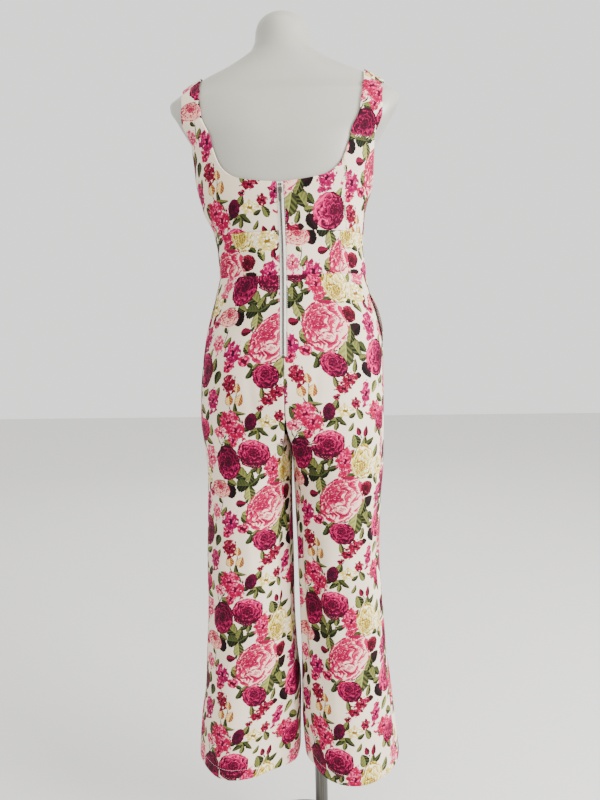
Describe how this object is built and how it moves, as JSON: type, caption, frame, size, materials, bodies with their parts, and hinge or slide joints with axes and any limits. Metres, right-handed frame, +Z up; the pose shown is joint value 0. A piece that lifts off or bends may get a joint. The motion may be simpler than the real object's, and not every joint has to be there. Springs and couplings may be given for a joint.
{
  "type": "jumpsuit on dress form",
  "caption": "Sleeveless wide-leg printed jumpsuit with a scooped back, midriff band and exposed back zip, shown on a limbless dress form on a pole stand.",
  "frame": {"origin": "on the floor, at the middle of the underside of the round base", "axes": "+Z up; the zipped back faces +Y and the front -Y; +X is the wearer's left"},
  "size_m": [0.433, 0.33, 1.7568],
  "materials": {
    "print_cotton": "matte printed cotton, close floral design on a warm off-white ground",
    "pocket_lining": "plain off-white lining",
    "zip_tape": "off-white woven tape",
    "zip_metal": "dull grey metal",
    "form_shell": "smooth glossy white shell",
    "stand_steel": "satin steel"
  },
  "bodies": {
    "jumpsuit_on_form": {"back_bodice_L": "print_cotton", "back_bodice_R": "print_cotton", "front_bodice": "print_cotton", "midriff_back_L": "print_cotton", "midriff_back_R": "print_cotton", "midriff_front": "print_cotton", "trouser_back_L": "print_cotton", "trouser_back_R": "print_cotton", "trouser_front_L": "print_cotton", "trouser_front_R": "print_cotton", "pocket_bag_L": "pocket_lining", "pocket_bag_R": "pocket_lining", "zip_tape_L": "zip_tape", "zip_tape_R": "zip_tape", "zip_chain": "zip_metal", "zip_slider": "zip_metal", "zip_stop_top_L": "zip_metal", "zip_stop_top_R": "zip_metal", "zip_stop_bottom": "zip_metal", "form_torso": "form_shell", "stand_pole": "stand_steel", "stand_socket": "stand_steel", "stand_base": "stand_steel"},
    "pull": {"zip_pull": "zip_metal"}
  },
  "joints": [
    {"name": "pull_swing", "type": "hinge", "parent": "jumpsuit_on_form", "child": "pull", "pos_m": [0, 0.1107, 1.42775], "axis": [1, 0, 0], "range_deg": [0, 160]}
  ]
}
